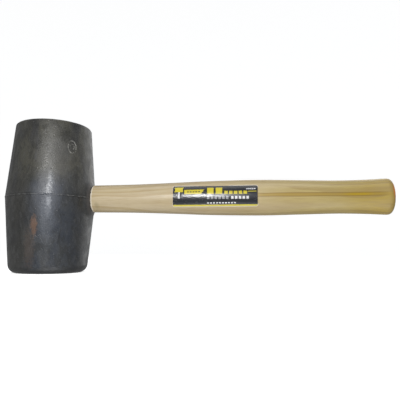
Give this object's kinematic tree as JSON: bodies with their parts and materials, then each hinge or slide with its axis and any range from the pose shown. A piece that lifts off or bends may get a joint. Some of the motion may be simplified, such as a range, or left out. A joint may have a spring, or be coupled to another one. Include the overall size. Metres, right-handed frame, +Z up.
{
  "type": "rubber mallet",
  "caption": "Rubber mallet with a black double-cone head, a turned hardwood handle wedged through its eye and a black film label.",
  "frame": {"origin": "centre of the lower striking face", "axes": "+Z up along the head's axis, +X out along the handle towards its butt, -Y towards the side that carries the label"},
  "size_m": [0.3572, 0.0828, 0.1394],
  "materials": {
    "black_rubber": "satin",
    "lacquered_ash": "satin",
    "wedge_wood": "matte",
    "wedge_steel": "satin",
    "printed_film": "gloss"
  },
  "bodies": {
    "root": {"rubber_head": "black_rubber", "handle": "lacquered_ash", "wood_wedge": "wedge_wood", "steel_wedge_upper": "wedge_steel", "steel_wedge_lower": "wedge_steel", "handle_label": "printed_film"}
  },
  "joints": []
}
